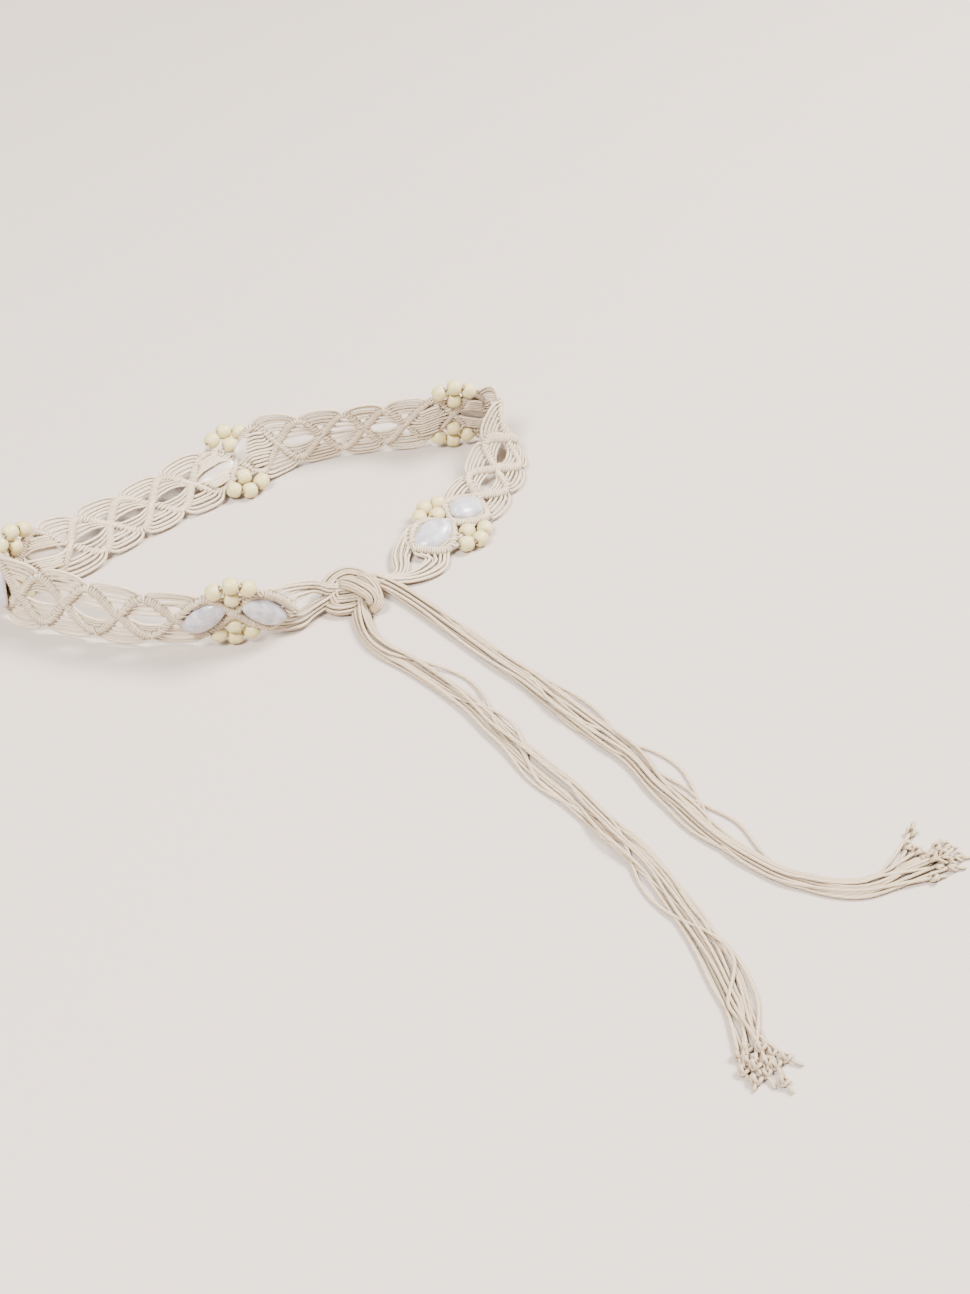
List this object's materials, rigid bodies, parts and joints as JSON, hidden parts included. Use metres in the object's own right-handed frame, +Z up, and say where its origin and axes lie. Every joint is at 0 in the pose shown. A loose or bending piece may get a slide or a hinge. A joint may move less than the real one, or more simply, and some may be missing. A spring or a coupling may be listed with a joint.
{
  "type": "macrame belt",
  "caption": "Knotted cotton hip belt of openwork diamonds with wooden beads and domed marquise stones, tied in a loop with two long loose cord tails.",
  "frame": {"origin": "middle of the underside of the loop's outline, tails left out, on the surface it lies on", "axes": "+X to the picture's right along the loop's long side, -Y toward the knot's side, +Z up from the surface"},
  "size_m": [0.5472, 0.5344, 0.0557],
  "materials": {
    "cord": "matt twisted cotton",
    "bead": "smooth pale wood",
    "stone": "polished milky stone"
  },
  "bodies": {
    "root": {"woven_band": "cord", "tie_knot": "cord", "tie_tail_near": "cord", "tie_tail_far": "cord", "end_knots_near": "cord", "end_knots_far": "cord", "bead_inner_01_upper": "bead", "bead_arc_01_upper": "bead", "bead_inner_01_lower": "bead", "bead_arc_01_lower": "bead", "bead_inner_06_upper": "bead", "bead_arc_06_upper": "bead", "bead_inner_06_lower": "bead", "bead_arc_06_lower": "bead", "bead_inner_11_upper": "bead", "bead_arc_11_upper": "bead", "bead_inner_11_lower": "bead", "bead_arc_11_lower": "bead", "bead_inner_16_upper": "bead", "bead_arc_16_upper": "bead", "bead_inner_16_lower": "bead", "bead_arc_16_lower": "bead", "bead_inner_21_upper": "bead", "bead_arc_21_upper": "bead", "bead_inner_21_lower": "bead", "bead_arc_21_lower": "bead", "stone_01": "stone", "stone_02": "stone", "stone_03": "stone", "stone_04": "stone", "stone_05": "stone", "stone_06": "stone", "stone_07": "stone", "stone_08": "stone", "stone_09": "stone", "stone_10": "stone"}
  },
  "joints": []
}
